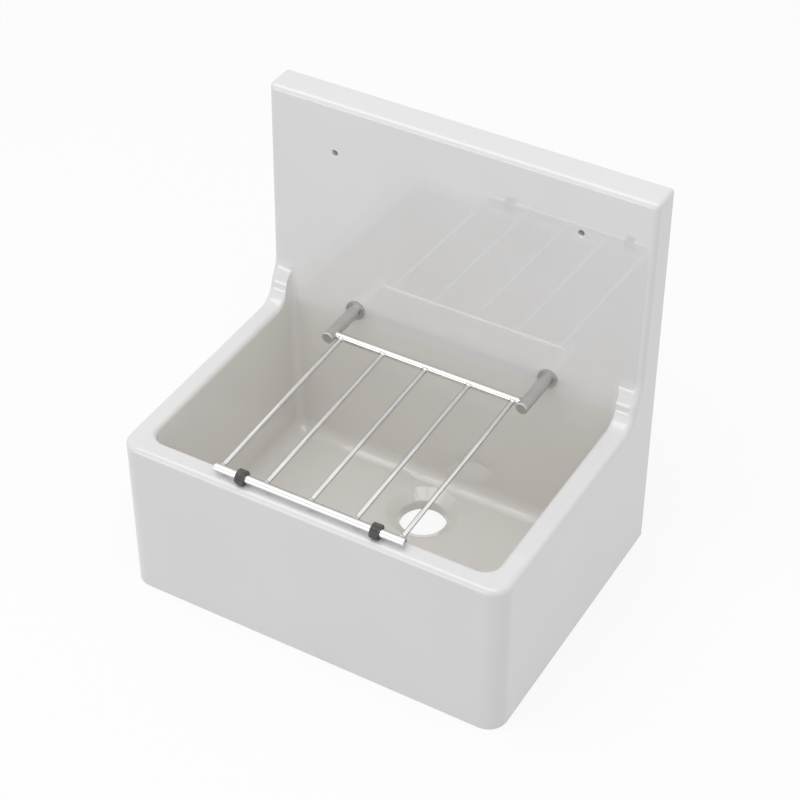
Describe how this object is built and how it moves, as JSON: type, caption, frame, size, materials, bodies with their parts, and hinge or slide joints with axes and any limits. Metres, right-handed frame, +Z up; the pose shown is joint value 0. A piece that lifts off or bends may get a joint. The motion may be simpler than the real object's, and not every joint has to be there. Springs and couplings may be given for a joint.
{
  "type": "mop service sink",
  "caption": "Fireclay mop service sink with a splashback, and a round-bar bucket grating that hinges on steel posts and rests on the front rim",
  "frame": {"origin": "under the middle of the sink's outline, on the plane of its underside", "axes": "+Z up; -Y to the front, where the user stands; +Y to the wall behind the splashback; +X to the right as seen from the front"},
  "size_m": [0.515, 0.391, 0.531],
  "materials": {
    "fireclay": "white gloss glaze over fireclay",
    "satin_steel": "satin stainless steel, turned and brushed",
    "polished_steel": "electropolished stainless steel bar",
    "plain_steel": "plain stainless steel fastener",
    "buffer_rubber": "black moulded rubber with grooves",
    "soft_rubber": "dark grey rubber washer",
    "nylon": "natural nylon"
  },
  "bodies": {
    "sink": {"sink_body": "fireclay", "post_left": "satin_steel", "post_right": "satin_steel", "flange_left": "satin_steel", "flange_right": "satin_steel", "gasket_left": "soft_rubber", "gasket_right": "soft_rubber", "bush_left": "nylon", "bush_right": "nylon", "stud_left": "plain_steel", "stud_right": "plain_steel", "back_pad_left": "soft_rubber", "back_pad_right": "soft_rubber", "back_washer_left": "plain_steel", "back_washer_right": "plain_steel", "nut_left": "plain_steel", "nut_right": "plain_steel"},
    "grating": {"hinge_bar": "polished_steel", "front_bar": "polished_steel", "buffer_left": "buffer_rubber", "buffer_right": "buffer_rubber", "rod_1": "polished_steel", "rod_2": "polished_steel", "rod_3": "polished_steel", "rod_4": "polished_steel", "rod_5": "polished_steel"}
  },
  "joints": [
    {"name": "grating_hinge", "type": "hinge", "parent": "sink", "child": "grating", "pos_m": [0, 0.09067, 0.24165], "axis": [-1, 0, 0], "range_deg": [0, 103]}
  ]
}
